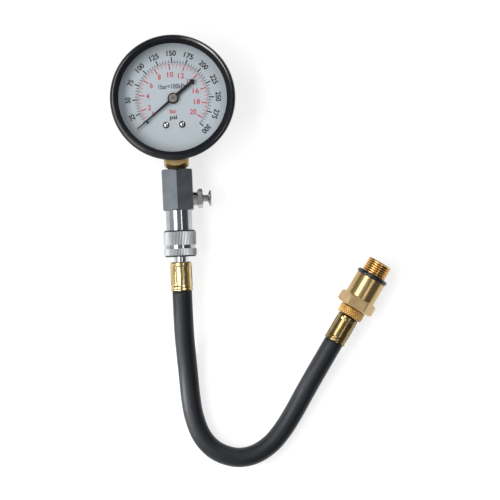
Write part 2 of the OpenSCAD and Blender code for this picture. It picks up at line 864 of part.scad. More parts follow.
// Headed pin through the link, from the height of the sector
module link_pin(xy, clear) {
    head_r = pin_r + clear + pin_head_lip;
    color("silver") translate([xy[0], xy[1], sector_z]) {
        cylinder(r = pin_r, h = pin_head_z - sector_z);
        translate([0, 0, pin_head_z - sector_z]) cylinder(r = head_r, h = pin_head_t);
    }
}

module sector_pin() {
    link_pin(sector_pin_xy, run_clear);
}

module tip_pin() {
    link_pin(tip_pin_xy, eye_clear);
}

module link() {
    eye = tip_pin_xy;
    color("gold") translate([0, 0, link_z]) difference() {
        linear_extrude(link_t) {
            bar(sector_pin_xy, eye, link_w, pin_r + eye_wall);
            translate(eye) circle(r = pin_r + eye_clear + eye_wall);
        }
        translate([sector_pin_xy[0], sector_pin_xy[1], -cut])
            cylinder(r = pin_r + run_clear, h = link_t + 2*cut);
        translate([eye[0], eye[1], -cut]) cylinder(r = pin_r + eye_clear, h = link_t + 2*cut);
    }
}

module bourdon_tip() {
    end = tip_arm_r*[cos(tip_arm_angle), sin(tip_arm_angle)];
    color("darkgoldenrod") difference() {
        union() {
            translate([0, 0, tube_z - tip_block_h/2]) rotate([0, 0, tube_tip_angle])
                translate([tube_r - tip_block/2, -tip_block, 0]) cube([tip_block, tip_block, tip_block_h]);
            translate([0, 0, sector_z]) linear_extrude(sector_t)
                bar(tip_pin_xy, end, 2*(pin_r + eye_wall), pin_r + eye_wall);
        }
        translate([tip_pin_xy[0], tip_pin_xy[1], sector_z - cut])
            cylinder(r = pin_r + seat_clear, h = sector_t + 2*cut);
    }
}

module bourdon_tube() {
    color("peru") round_sweep(tube_tip_angle, tube_end_angle) difference() {
        oval(tube_w, tube_t);
        oval(tube_w - 2*tube_wall, tube_t - 2*tube_wall);
    }
}

// Socket: block in the case, pad and bosses for the movement and dial, square stem and thread
// Square block along +Z with cut edges, turned to a chamfer at its free end
module stem_block(len) {
    end_r = block_w/2 - block_turn;
    intersection() {
        linear_extrude(len) cut_square(block_w, block_chamfer);
        rotate_extrude()
            polygon([[0, 0], [block_w, 0], [block_w, len - block_w + end_r], [end_r, len], [0, len]]);
    }
}

module socket() {
    boss_y = tube_r*sin(tube_boss_angle) + tube_t/2 + tube_boss_wall;
    color("goldenrod") difference() {
        union() {
            intersection() {
                union() {
                    translate([-socket_half_w, -case_r, socket_low])
                        cube([2*socket_half_w, case_r + socket_top_y, socket_high - socket_low]);
                    translate([tube_boss_x[0], -case_r, socket_low])
                        cube([tube_boss_x[1] - tube_boss_x[0], case_r + boss_y, tube_boss_top - socket_low]);
                    translate([-pad_half_w, pad_start_y, socket_low])
                        cube([2*pad_half_w, pad_end_y - pad_start_y, movement_z - socket_low]);
                }
                cylinder(r = socket_r, h = case_h);
            }
            on_stem(block_start) stem_block(block_end - block_start);
            on_stem(block_end - sink) cylinder(r = stem_thread_r, h = stem_thread_len + sink);
            for (s = [-1, 1])
                translate([s*dial_screw_x, -dial_screw_y, movement_z - sink])
                    cylinder(r = boss_r, h = dial_z - movement_z + sink);
        }
        on_stem(-bore_end_y) cylinder(r = passage_r, h = stem_end + bore_end_y + cut);
        translate([drill_x, drill_y, tube_z]) rotate([0, 90, 0]) cylinder(r = drill_r, h = -drill_x);
        translate([drill_x, drill_y, tube_z]) rotate([-90, 0, 0]) cylinder(r = drill_r, h = drill_len);
        round_sweep(tube_pocket_angle, tube_end_angle)
            oval(tube_w + 2*seat_clear, tube_t + 2*seat_clear);
        for (s = [-1, 1]) {
            translate([s*dial_screw_x, -dial_screw_y, dial_top - dial_screw_depth - screw_end_gap])
                cylinder(r = dial_screw_r + seat_clear, h = dial_screw_depth + cut);
            on_case_screw(s) translate([0, 0, -case_screw_len - screw_end_gap])
                cylinder(r = case_screw_r + seat_clear, h = case_screw_len);
        }
        for (p = movement_screw_xy)
            translate([p[0], p[1], movement_z - movement_screw_depth])
                cylinder(r = movement_screw_r + seat_clear, h = movement_screw_depth + cut);
    }
}

// Movement plates, pillars and screws

module plate(z) {
    translate([0, 0, z]) linear_extrude(plate_t)
        round_rect([-plate_x, plate_low_y], [plate_x, plate_high_y], plate_corner_r);
}

// Holes that both plates share: the two arbors and the dial bosses
module plate_holes(z) {
    translate([0, 0, z - cut]) {
        for (y = [0, sector_y])
            translate([0, y, 0]) cylinder(r = arbor_r + run_clear, h = plate_t + 2*cut);
        for (s = [-1, 1])
            translate([s*dial_screw_x, -dial_screw_y, 0])
                cylinder(r = boss_r + plate_hole_clear, h = plate_t + 2*cut);
    }
}

module movement_back_plate() {
    color("gold") difference() {
        plate(movement_z);
        plate_holes(movement_z);
        for (p = movement_screw_xy)
            translate([p[0], p[1], movement_z - cut])
                cylinder(r = movement_screw_r + run_clear, h = plate_t + 2*cut);
    }
}

module movement_front_plate() {
    color("gold") difference() {
        plate(front_z);
        plate_holes(front_z);
        for (p = pillar_xy)
            translate([p[0], p[1], front_z - cut])
                cylinder(r = plate_screw_r + run_clear, h = plate_t + 2*cut);
    }
}

module movement_pillars() {
    color("gold") for (p = pillar_xy)
        translate([p[0], p[1], back_top]) difference() {
            cylinder(r = pillar_r, h = plate_gap);
            translate([0, 0, plate_gap - plate_screw_depth])
                cylinder(r = plate_screw_r + seat_clear, h = plate_screw_depth + cut);
        }
}

module plate_screws() {
    color("silver") for (p = pillar_xy)
        translate([p[0], p[1], front_top])
            pan_screw(plate_screw_r, plate_t + plate_screw_depth - screw_end_gap,
                plate_screw_head_r, plate_screw_head_t);
}

module movement_screws() {
    color("silver") for (p = movement_screw_xy)
        translate([p[0], p[1], back_top])
            pan_screw(movement_screw_r, plate_t + movement_screw_depth - screw_end_gap,
                movement_screw_head_r, movement_screw_head_t);
}

// Quick coupler on the stem

module coupler_body() {
    groove_r = nose_r - ring_depth;
    color("lightgray") difference() {
        union() {
            on_stem(hex_start) chamfered_hex(hex_af, hex_len);
            on_stem(hex_end - sink) cylinder(r = barrel_r, h = shoulder - hex_end + sink);
            on_stem(shoulder - sink) cylinder(r = nose_r, h = nose_end - shoulder + sink);
        }
        on_stem(hex_start - cut)
            cylinder(r = stem_thread_r + seat_clear, h = stem_hole_end - hex_start + cut);
        on_stem(stem_hole_end - cut) cylinder(r = passage_r, h = plug_bore_start - stem_hole_end + 2*cut);
        on_stem(plug_bore_start) cylinder(r = plug_bore_r, h = nose_end - plug_bore_start + cut);
        on_stem(seal_at - seal_r) cylinder(r = seal_ring_r + seal_r + seat_clear, h = 2*seal_r);
        on_stem(ring_start - face_gap) tube(nose_r + cut, groove_r, ring_t + 2*face_gap);
        for (i = [0:ball_count - 1])
            on_stem(ball_at) rotate([0, 0, 360*i/ball_count]) rotate([0, 90, 0])
                cylinder(r = ball_r + run_clear, h = nose_r + cut);
        on_valve(valve_hole_end) cylinder(r = valve_hole_r, h = hex_af);
        on_valve(0) cylinder(r = valve_port_r, h = valve_hole_end + cut);
    }
}

module coupler_seal() {
    color("#222222") on_stem(seal_at) rotate_extrude()
        translate([seal_ring_r, 0]) circle(r = seal_r - seat_clear);
}

module locking_balls() {
    color("silver") for (i = [0:ball_count - 1])
        on_stem(ball_at) rotate([0, 0, 360*i/ball_count]) translate([ball_ring_r, 0, 0]) sphere(r = ball_r);
}

// Ridged band of the sleeve along +Z, turned off at the end that lies at the origin
module sleeve_band(len) {
    end_r = sleeve_r - sleeve_bevel;
    over_r = sleeve_r + cut;
    intersection() {
        linear_extrude(len) polygon(ridged(sleeve_r, sleeve_ridge, sleeve_ridges));
        rotate_extrude() polygon([[0, 0], [end_r, 0], [over_r, over_r - end_r], [over_r, len], [0, len]]);
    }
}

module coupler_sleeve() {
    groove_end = sleeve_end - sleeve_groove_end;
    groove_start = groove_end - sleeve_groove_w;
    color("silver") difference() {
        union() {
            on_stem(sleeve_start) sleeve_band(groove_start - sleeve_start);
            on_stem(sleeve_end) mirror([0, 0, 1]) sleeve_band(sleeve_groove_end);
            on_stem(groove_start - sink)
                cylinder(r = sleeve_r - sleeve_groove_depth, h = sleeve_groove_w + 2*sink);
        }
        on_stem(sleeve_start - cut) cylinder(r = sleeve_guide_r, h = land_start - sleeve_start + cut);
        on_stem(land_start - cut) cylinder(r = sleeve_land_r, h = land_end - land_start + 2*cut);
        on_stem(land_end) cylinder(r = sleeve_mouth_r, h = sleeve_mouth + cut);
    }
}

module sleeve_spring() {
    color("gray") on_stem(shoulder)
        coil_spring(nose_r + spring_room/2, spring_wire_r, land_start - shoulder, 4);
}

module sleeve_ring() {
    groove_r = nose_r - ring_depth;
    color("gray") on_stem(ring_start) difference() {
        tube(ring_r, groove_r + seat_clear, ring_t);
        rotate([0, 0, -90 - ring_open/2]) translate([0, 0, -cut])
            rotate_extrude(angle = ring_open) square([ring_r + cut, ring_t + 2*cut]);
    }
}

// Release valve in the side of the coupler

module valve_body() {
    color("gainsboro") difference() {
        union() {
            on_valve(valve_body_start)
                cylinder(r = valve_thread_r, h = valve_hex_start - valve_body_start + sink);
            on_valve(valve_hex_start) rotate([0, 0, valve_hex_turn])
                chamfered_hex(valve_hex_af, valve_hex_len);
        }
        on_valve(valve_body_start - cut) cylinder(r = chamber_r, h = chamber_end - valve_body_start + cut);
        on_valve(chamber_end - cut) cylinder(r = plunger_bore_r, h = valve_hex_end - chamber_end + 2*cut);
    }
}

module valve_plunger() {
    flare = button_start - button_flare;
    button_end = button_start + button_t;
    color("gainsboro") on_valve(0) rotate_extrude() polygon([
        [0, poppet_start], [poppet_r, poppet_start], [poppet_r, valve_seal_start],
        [plunger_neck_r, valve_seal_start], [plunger_neck_r, chamber_end], [plunger_r, chamber_end],
        [plunger_r, flare], [button_r - button_edge, button_start], [button_r, button_start + button_edge],
        [button_r, button_end - button_edge], [button_r - button_edge, button_end], [0, button_end]
    ]);
}

module valve_seal() {
    color("#222222") on_valve(valve_seal_start)
        tube(poppet_r, plunger_neck_r + seat_clear, valve_seal_t - face_gap);
}

module valve_spring() {
    color("gray") on_valve(valve_hole_end) coil_spring(valve_coil_r, valve_wire_r, valve_spring_len, 3);
}

// Hose with its plug and ferrules

// Barbed tail from the origin along +Z
module barbs(len) {
    count = floor(len/barb_pitch);
    cylinder(r = barb_stem_r, h = len);
    for (i = [0:count - 1])
        translate([0, 0, len - (i + 1)*barb_pitch])
            cylinder(r1 = barb_r, r2 = barb_stem_r, h = barb_pitch*barb_slope);
}

module hose_plug() {
    flange_end = ferrule_start + ferrule_flange_t;
    tail_len_u = ferrule_len - ferrule_flange_t - barb_end_gap;
    color("silver") difference() {
        union() {
            on_stem(plug_start) cylinder(r1 = plug_r - plug_bevel, r2 = plug_r, h = plug_bevel);
            on_stem(plug_start + plug_bevel) cylinder(r = plug_r, h = nose_end - plug_start - plug_bevel);
            on_stem(nose_end - sink) cylinder(r = plug_neck_r, h = flange_end - nose_end + sink);
            on_stem(flange_end) barbs(tail_len_u);
        }
        on_stem(ball_at) rotate_extrude() translate([ball_ring_r, 0]) circle(r = ball_r + run_clear);
        on_stem(plug_start - cut) cylinder(r = passage_r, h = ferrule_end - plug_start);
    }
}

// What the crimping dies press in: a round band with sloped ends, and a ridge left between the dies
module crimp_band() {
    floor_r = ferrule_r - crimp_depth;
    low = crimp_end + crimp_slope;
    high = ferrule_len - low;
    reach = (crimp_depth + cut)*crimp_slope/crimp_depth;
    difference() {
        rotate_extrude()
            polygon([[floor_r, low], [ferrule_r + cut, low - reach], [ferrule_r + cut, high + reach],
                [floor_r, high]]);
        for (i = [0:crimp_sides - 1])
            rotate([0, 0, 360*i/crimp_sides])
                translate([0, -crimp_ridge_w/2, -ferrule_len])
                    cube([ferrule_d, crimp_ridge_w, 3*ferrule_len]);
    }
}

// Crimped ferrule from its flange along +Z, with a bell mouth round the hose
module ferrule() {
    bell_r = ferrule_r + ferrule_bell;
    color("goldenrod") difference() {
        rotate_extrude()
            polygon([[0, 0], [ferrule_r - ferrule_edge, 0], [ferrule_r, ferrule_edge],
                [ferrule_r, ferrule_len - ferrule_bell_len], [bell_r, ferrule_len - ferrule_bell_len/2],
                [bell_r, ferrule_len], [0, ferrule_len]]);
        translate([0, 0, -cut]) cylinder(r = plug_neck_r + seat_clear, h = ferrule_len + 2*cut);
        translate([0, 0, ferrule_flange_t]) cylinder(r = ferrule_ri, h = ferrule_len);
        crimp_band();
    }
}

module upper_ferrule() {
    on_stem(ferrule_start) ferrule();
}

module lower_ferrule() {
    on_adapter(ferrule_len) mirror([0, 0, 1]) ferrule();
}

module hose() {
    out = [cos(far_angle), sin(far_angle), 0];
    near = [0, -ferrule_end, stem_z];
    far = [far_x, far_y, far_z];
    near_in = near + [0, hose_in_ferrule, 0];
    far_in = far + hose_in_ferrule*out;
    near_out = near - [0, hose_swell, 0];
    far_out = far - hose_swell*out;
    free = concat([near_out], HOSE_ROUTE, [far_out]);
    curve = [for (i = [0:len(free) - 2], k = [0:ring_steps - 1]) curve_point(free, i, k/ring_steps)];
    path = concat([near_in, near], curve, [far_out, far, far_in]);
    rings = len(path);
    radii = [for (i = [0:rings - 1]) i < 2 || i > rings - 3 ? hose_crimped_r : hose_r];
    up = [for (p = path) [0, 0, 1]];
    color("#1b1d22") difference() {
        swept_tube(path, up, radii, hose_sides);
        on_stem(ferrule_end - hose_in_ferrule - cut) cylinder(r = hose_bore_r, h = hose_in_ferrule + cut);
        on_adapter(0) cylinder(r = hose_bore_r, h = hose_in_ferrule + cut);
    }
}

// Fitting and adapter at the hose's lower end

module hose_end_fitting() {
    flange = ferrule_len - ferrule_flange_t;
    root_r = collar_r - collar_ridge;
    bevel = collar_bevel;
    color("goldenrod") difference() {
        union() {
            on_adapter(flange) mirror([0, 0, 1]) barbs(flange - barb_end_gap);
            on_adapter(flange) cylinder(r = plug_neck_r, h = collar_start - flange + sink);
            on_adapter(collar_start) rotate_extrude()
                polygon([[0, 0], [root_r - bevel, 0], [root_r, bevel], [root_r, collar_len - bevel],
                    [root_r - bevel, collar_len], [0, collar_len]]);
            on_adapter(collar_start + bevel) linear_extrude(collar_len - 2*bevel)
                polygon(ridged(collar_r, collar_ridge, collar_ridges));
            on_adapter(collar_end - sink) cylinder(r = fitting_thread_r, h = fitting_thread_len + sink);
        }
        on_adapter(0) cylinder(r = passage_r, h = fitting_end + cut);
    }
}

module fitting_seal() {
    color("#222222") on_adapter(fitting_end) tube(fitting_thread_r - seat_clear, passage_r, fitting_seal_t);
}

module adapter() {
    color("darkgoldenrod") difference() {
        union() {
            on_adapter(adapter_start) chamfered_hex(adapter_af, adapter_hex_len);
            on_adapter(0) rotate_extrude() polygon([
                [0, adapter_hex_end - sink], [adapter_d/2, adapter_hex_end - sink],
                [adapter_d/2, adapter_cyl_end], [oring_seat_r, adapter_cyl_end],
                [oring_seat_r, thread_start], [thread_r, thread_start],
                [thread_r, thread_end - thread_chamfer], [thread_r - thread_chamfer, thread_end],
                [0, thread_end]
            ]);
        }
        on_adapter(adapter_start - cut)
            cylinder(r = fitting_thread_r + seat_clear, h = fitting_hole_end - adapter_start + cut);
        on_adapter(fitting_hole_end - cut)
            cylinder(r = passage_r, h = core_bore_start - fitting_hole_end + 2*cut);
        on_adapter(core_bore_start) cylinder(r = core_bore_r, h = thread_end - core_bore_start + cut);
    }
}

module adapter_oring() {
    color("#222222") on_adapter(adapter_cyl_end + oring_t/2) rotate_extrude()
        translate([oring_ri + oring_t/2, 0]) circle(d = oring_t - 2*seat_clear);
}

module check_valve_body() {
    guide = core_len - check_guide_len;
    color("goldenrod") on_adapter(core_start) difference() {
        cylinder(r = core_r, h = core_len);
        translate([0, 0, -cut]) cylinder(r = check_gas_r, h = guide + cut);
        translate([0, 0, -cut]) cylinder(r = check_stem_r + run_clear, h = core_len + 2*cut);
        for (i = [0:check_vents - 1])
            rotate([0, 0, 360*i/check_vents]) translate([check_gas_r, 0, guide - cut])
                cylinder(r = check_vent_r, h = check_guide_len + 2*cut);
    }
}

module check_valve_pin() {
    color("silver") {
        on_adapter(check_head_start) cylinder(r = check_head_r, h = check_head_t);
        on_adapter(check_head_start)
            cylinder(r = check_stem_r, h = core_end + check_tip_out - check_head_start);
    }
}

module check_valve_seal() {
    color("#222222") on_adapter(check_head_start + check_head_t)
        tube(check_head_r, check_stem_r + seat_clear, check_seal_t - face_gap);
}

module check_valve_spring() {
    color("gray") on_adapter(core_bore_start) coil_spring(check_coil_r, check_wire_r, check_spring_len, 3);
}

case();
case_screws();
bezel();
lens();
lens_gasket();
dial();
dial_screws();
stop_pin();
pointer();
pointer_hub();
pinion_arbor();
hairspring();
hairspring_stud();
sector_gear();
sector_arbor();
sector_pin();
link();
bourdon_tip();
tip_pin();
bourdon_tube();
socket();
movement_back_plate();
movement_front_plate();
movement_pillars();
plate_screws();
movement_screws();
coupler_body();
coupler_seal();
locking_balls();
coupler_sleeve();
sleeve_spring();
sleeve_ring();
valve_body();
valve_plunger();
valve_seal();
valve_spring();
hose_plug();
upper_ferrule();
hose();
lower_ferrule();
hose_end_fitting();
fitting_seal();
adapter();
adapter_oring();
check_valve_body();
check_valve_pin();
check_valve_seal();
check_valve_spring();
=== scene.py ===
"""Looks of the compression tester gauge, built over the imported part. Metres, in the part's frame."""

import math

import bmesh
import bpy
from mathutils import Matrix, Vector


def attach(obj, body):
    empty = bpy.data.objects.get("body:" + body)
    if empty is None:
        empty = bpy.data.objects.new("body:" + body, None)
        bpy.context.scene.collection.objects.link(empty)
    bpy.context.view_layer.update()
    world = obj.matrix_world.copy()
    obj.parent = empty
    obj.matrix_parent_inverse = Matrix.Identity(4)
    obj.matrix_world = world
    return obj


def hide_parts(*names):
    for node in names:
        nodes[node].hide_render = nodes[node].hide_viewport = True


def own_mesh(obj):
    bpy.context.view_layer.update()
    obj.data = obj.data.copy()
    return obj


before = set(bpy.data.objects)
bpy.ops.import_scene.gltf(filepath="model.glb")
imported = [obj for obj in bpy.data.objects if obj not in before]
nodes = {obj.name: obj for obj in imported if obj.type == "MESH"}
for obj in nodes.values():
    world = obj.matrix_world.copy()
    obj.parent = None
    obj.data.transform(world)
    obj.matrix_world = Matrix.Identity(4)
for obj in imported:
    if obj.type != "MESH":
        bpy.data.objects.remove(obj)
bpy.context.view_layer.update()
scene = bpy.context.scene
MM = 0.001

# Camera: straight down from one metre, as in the photograph

CAMERA_PLACE = (0.0371, -0.0818, 1.0)
CAMERA_TURN = math.radians(-2.5)
SENSOR_MM = 36
LENS_MM = 133.35

camera = bpy.data.objects.new("camera", bpy.data.cameras.new("camera"))
scene.collection.objects.link(camera)
camera.data.sensor_width = SENSOR_MM
camera.data.lens = LENS_MM
camera.data.clip_start = 0.01
camera.location = CAMERA_PLACE
camera.rotation_euler = (0, 0, CAMERA_TURN)
scene.camera = camera


# Node trees and materials

NOISE_LOW, NOISE_HIGH = 0.3, 0.7
RAMP_LOW, RAMP_HIGH = 0.35, 0.65


def node(tree, kind, inputs=None, **attributes):
    """A shader node with its attributes set and its inputs set or linked."""
    made = tree.nodes.new(kind)
    for key, value in attributes.items():
        setattr(made, key, value)
    for key, value in (inputs or {}).items():
        if isinstance(value, bpy.types.NodeSocket):
            tree.links.new(value, made.inputs[key])
        else:
            made.inputs[key].default_value = value
    return made


def blend_colors(tree, factor, stops):
    """A colour ramp with the given (position, colour) stops."""
    ramp = node(tree, "ShaderNodeValToRGB", {"Fac": factor})
    elements = ramp.color_ramp.elements
    while len(elements) < len(stops):
        elements.new(0.5)
    for element, (position, color) in zip(elements, stops):
        element.position = position
        element.color = (*color, 1)
    return ramp.outputs["Color"]


def spread(tree, value, low, high):
    """Stretches a noise value to the range from low to high."""
    return node(tree, "ShaderNodeMapRange", {
        "Value": value, "From Min": NOISE_LOW, "From Max": NOISE_HIGH,
        "To Min": low, "To Max": high}).outputs["Result"]


def noise(tree, size, turn=0.0, detail=3.0, roughness=0.55):
    """Noise whose features have the given size in metres along the axes of a frame turned about Z."""
    place = node(tree, "ShaderNodeTexCoord").outputs["Object"]
    lay = node(tree, "ShaderNodeMapping", {
        "Vector": place, "Rotation": (0, 0, math.radians(turn)), "Scale": size}, vector_type="TEXTURE")
    return node(tree, "ShaderNodeTexNoise", {
        "Vector": lay.outputs["Vector"], "Scale": 1.0, "Detail": detail,
        "Roughness": roughness}).outputs["Fac"]


def even(size):
    """A grain of one size in millimetres along all three axes."""
    return (size * MM, size * MM, size * MM)


def surface(name, low, high, rough, metal=0.0, fine=even(1), turn=0.0, bump=0.15, depth=0.05 * MM,
            patch=8 * MM, sockets=None):
    """A material with broad colour patches, fine grain in roughness and a bump of that grain."""
    made = bpy.data.materials.new(name)
    made.use_nodes = True
    tree = made.node_tree
    shader = tree.nodes["Principled BSDF"]
    broad = noise(tree, (patch, patch, patch), turn, detail=4.0)
    grain = noise(tree, fine, turn)
    mixed = node(tree, "ShaderNodeMath", {0: broad, 1: grain}, operation="ADD").outputs[0]
    half = node(tree, "ShaderNodeMath", {0: mixed, 1: 0.5}, operation="MULTIPLY").outputs[0]
    color = blend_colors(tree, half, [(RAMP_LOW, low), (RAMP_HIGH, high)])
    tree.links.new(color, shader.inputs["Base Color"])
    tree.links.new(spread(tree, half, *rough), shader.inputs["Roughness"])
    raised = node(tree, "ShaderNodeBump", {"Height": grain, "Strength": bump, "Distance": depth})
    tree.links.new(raised.outputs["Normal"], shader.inputs["Normal"])
    shader.inputs["Metallic"].default_value = metal
    for key, value in (sockets or {}).items():
        shader.inputs[key].default_value = value
    return made


# Direction of the adapter in degrees, a grain that runs round the stem, and grains that run along a piece
ADAPTER_ANGLE = 57
ROUND_STEM = (20 * MM, 0.12 * MM, 20 * MM)
FLUTES_STEM = (0.6 * MM, 9 * MM, 0.6 * MM)
FLUTES_ADAPTER = (9 * MM, 0.6 * MM, 0.6 * MM)

gloss_black = surface("gloss_black", (0.003, 0.0035, 0.005), (0.007, 0.008, 0.010), (0.11, 0.17),
    fine=even(0.25), bump=0.04, sockets={"Specular IOR Level": 0.55})
satin_black = surface("satin_black", (0.004, 0.0045, 0.006), (0.008, 0.009, 0.011), (0.4, 0.5),
    fine=even(0.25), bump=0.06, sockets={"Specular IOR Level": 0.06})
case_black = surface("case_black", (0.008, 0.009, 0.011), (0.018, 0.019, 0.022), (0.3, 0.42),
    fine=even(0.4), bump=0.2, sockets={"Specular IOR Level": 0.3})
dial_paint = surface("dial_paint", (0.46, 0.515, 0.55), (0.50, 0.555, 0.59), (0.4, 0.5), metal=0.05,
    fine=(4 * MM, 0.15 * MM, 4 * MM), turn=45, patch=25 * MM, bump=0.08)
print_black = surface("print_black", (0.006, 0.007, 0.010), (0.012, 0.014, 0.018), (0.5, 0.6),
    fine=even(0.3), bump=0.05, sockets={"Specular IOR Level": 0.2})
print_red = surface("print_red", (0.50, 0.035, 0.055), (0.60, 0.055, 0.075), (0.5, 0.6),
    fine=even(0.3), bump=0.05, sockets={"Specular IOR Level": 0.2})
pointer_black = surface("pointer_black", (0.003, 0.004, 0.005), (0.006, 0.007, 0.009), (0.45, 0.55),
    fine=even(0.3), bump=0.1, sockets={"Specular IOR Level": 0.1})
hub_metal = surface("hub_metal", (0.38, 0.32, 0.27), (0.50, 0.43, 0.37), (0.22, 0.34), metal=1.0,
    fine=even(0.25), patch=4 * MM)
dome_chrome = surface("dome_chrome", (0.40, 0.40, 0.39), (0.50, 0.50, 0.49), (0.10, 0.18), metal=1.0,
    fine=even(0.4), bump=0.03, patch=6 * MM)
steel = surface("steel", (0.42, 0.42, 0.42), (0.60, 0.60, 0.59), (0.10, 0.18), metal=1.0,
    fine=even(0.3), patch=3 * MM)
movement_brass = surface("movement_brass", (0.62, 0.42, 0.14), (0.78, 0.57, 0.25), (0.28, 0.4), metal=1.0,
    fine=(0.2 * MM, 6 * MM, 0.2 * MM))
bronze = surface("bronze", (0.50, 0.25, 0.11), (0.66, 0.37, 0.18), (0.3, 0.42), metal=1.0,
    fine=even(0.4))
block_brass = surface("block_brass", (0.50, 0.34, 0.14), (0.63, 0.46, 0.23), (0.3, 0.42), metal=1.0,
    fine=(6 * MM, 0.2 * MM, 6 * MM))
# Painted shade: the stem's recessed neck under the brass block is near black
neck_shade = surface("neck_shade", (0.03, 0.018, 0.008), (0.07, 0.04, 0.018), (0.5, 0.65),
    fine=even(0.3), bump=0.3)
body_grey = surface("body_grey", (0.175, 0.195, 0.215), (0.235, 0.26, 0.28), (0.40, 0.50), metal=1.0,
    fine=even(0.18), bump=0.35, patch=5 * MM)
barrel_steel = surface("barrel_steel", (0.38, 0.41, 0.43), (0.50, 0.52, 0.54), (0.10, 0.17), metal=1.0,
    fine=ROUND_STEM, bump=0.12, patch=4 * MM)
bright_ridges = surface("bright_ridges", (0.70, 0.71, 0.72), (0.83, 0.84, 0.85), (0.52, 0.60), metal=1.0,
    fine=(0.3 * MM, 9 * MM, 0.3 * MM), bump=0.1, patch=5 * MM)
nickel = surface("nickel", (0.52, 0.51, 0.50), (0.68, 0.67, 0.65), (0.10, 0.2), metal=1.0,
    fine=(0.12 * MM, 6 * MM, 6 * MM))
chrome = surface("chrome", (0.60, 0.61, 0.62), (0.74, 0.74, 0.74), (0.07, 0.14), metal=1.0, fine=ROUND_STEM)
upper_brass = surface("upper_brass", (0.44, 0.32, 0.14), (0.72, 0.58, 0.32), (0.14, 0.26), metal=1.0,
    fine=FLUTES_STEM, bump=0.4, depth=0.2 * MM, patch=3 * MM)
# The lower ferrule is a darker copy of the upper ferrule's brass: painted shade where its reflection is
# duller
lower_brass_shaded = surface("lower_brass_shaded", (0.20, 0.14, 0.05), (0.34, 0.255, 0.12), (0.14, 0.26), metal=1.0,
    fine=FLUTES_ADAPTER, turn=ADAPTER_ANGLE, bump=0.25, depth=0.2 * MM, patch=3 * MM)
knurl_brass = surface("knurl_brass", (0.86, 0.54, 0.18), (0.96, 0.64, 0.25), (0.25, 0.36), metal=1.0,
    fine=even(0.25), patch=2 * MM)
turned_brass = surface("turned_brass", (0.46, 0.32, 0.135), (0.60, 0.43, 0.20), (0.22, 0.28), metal=1.0,
    fine=FLUTES_ADAPTER, turn=ADAPTER_ANGLE, bump=0.06)
hex_brass = surface("hex_brass", (0.50, 0.355, 0.175), (0.63, 0.45, 0.235), (0.33, 0.40), metal=1.0,
    fine=even(0.2), bump=0.3, patch=4 * MM)
thread_brass = surface("thread_brass", (0.84, 0.60, 0.25), (0.95, 0.70, 0.31), (0.16, 0.24), metal=1.0,
    fine=even(0.6), bump=0.05, patch=3 * MM)
seal_rubber = surface("seal_rubber", (0.003, 0.004, 0.006), (0.006, 0.007, 0.010), (0.12, 0.2),
    fine=even(0.6), bump=0.02, sockets={"Specular IOR Level": 0.5})
hose_rubber = surface("hose_rubber", (0.004, 0.006, 0.008), (0.008, 0.010, 0.013), (0.40, 0.50),
    fine=even(0.25), bump=0.2, patch=15 * MM,
    sockets={"Specular IOR Level": 0.3, "Sheen Weight": 0.2, "Sheen Roughness": 0.3})
lens_glass = surface("lens_glass", (0.86, 0.90, 0.92), (0.92, 0.95, 0.96), (0.02, 0.05), metal=1.0,
    fine=even(2), bump=0.02, patch=20 * MM)
# Clear glass: only its share of mirrored light shows, alike on both sides of the pane
MIRRORED_HEAD_ON = 0.04
MIRROR_POWER = 5.0
glass_tree = lens_glass.node_tree
slant = node(glass_tree, "ShaderNodeLayerWeight", {"Blend": 0.5}).outputs["Facing"]
rise = node(glass_tree, "ShaderNodeMath", {0: slant, 1: MIRROR_POWER}, operation="POWER").outputs[0]
glint = node(glass_tree, "ShaderNodeMapRange", {
    "Value": rise, "To Min": MIRRORED_HEAD_ON, "To Max": 1.0}).outputs["Result"]
glass_tree.links.new(glint, glass_tree.nodes["Principled BSDF"].inputs["Alpha"])


NODE_MATERIALS = {
    gloss_black: ["bezel"],
    case_black: ["case"],
    lens_glass: ["lens"],
    dial_paint: ["dial"],
    pointer_black: ["pointer", "stop_pin"],
    hub_metal: ["pointer_hub"],
    dome_chrome: ["dial_screws"],
    steel: ["case_screws", "pinion_arbor", "hairspring_stud", "sector_arbor", "sector_pin",
            "tip_pin", "plate_screws", "movement_screws", "locking_balls", "sleeve_spring", "sleeve_ring",
            "valve_spring", "check_valve_pin", "check_valve_spring"],
    movement_brass: ["hairspring", "sector_gear", "link", "movement_back_plate", "movement_front_plate",
                     "movement_pillars", "check_valve_body"],
    bronze: ["bourdon_tube"],
    block_brass: ["socket", "bourdon_tip"],
    body_grey: ["coupler_body"],
    bright_ridges: ["coupler_sleeve"],
    nickel: ["valve_body", "valve_plunger"],
    chrome: ["hose_plug"],
    upper_brass: ["upper_ferrule"],
    lower_brass_shaded: ["lower_ferrule"],
    seal_rubber: ["lens_gasket", "coupler_seal", "valve_seal", "fitting_seal", "adapter_oring",
                  "check_valve_seal"],
    turned_brass: ["adapter"],
    knurl_brass: ["hose_end_fitting"],
    hose_rubber: ["hose"],
}
for made, names in NODE_MATERIALS.items():
    for name in names:
        data = nodes[name].data
        data.materials.clear()
        data.materials.append(made)
        data.polygons.foreach_set("use_smooth", [True] * len(data.polygons))


def finish_span(data, material, inside):
    """Gives the faces whose middle passes a test a finish of their own."""
    data.materials.append(material)
    for face in data.polygons:
        if inside(face.center):
            face.material_index = len(data.materials) - 1


# Ends of the brass block and the hex along the stem, the sleeve's groove, and the bezel's roll
BLOCK_END = -36.32 * MM
HEX_END = -59.15 * MM
GROOVE = (-79.35 * MM, -77.55 * MM)
ROLL_R = 30.6 * MM
finish_span(nodes["bezel"].data, satin_black, lambda middle: middle.xy.length < ROLL_R)
# The stem's recessed neck below the brass block gets the painted shade
finish_span(nodes["socket"].data, neck_shade, lambda middle: middle.y < BLOCK_END)
finish_span(nodes["coupler_body"].data, barrel_steel, lambda middle: middle.y < HEX_END)
finish_span(nodes["coupler_sleeve"].data, barrel_steel, lambda middle: GROOVE[0] < middle.y < GROOVE[1])


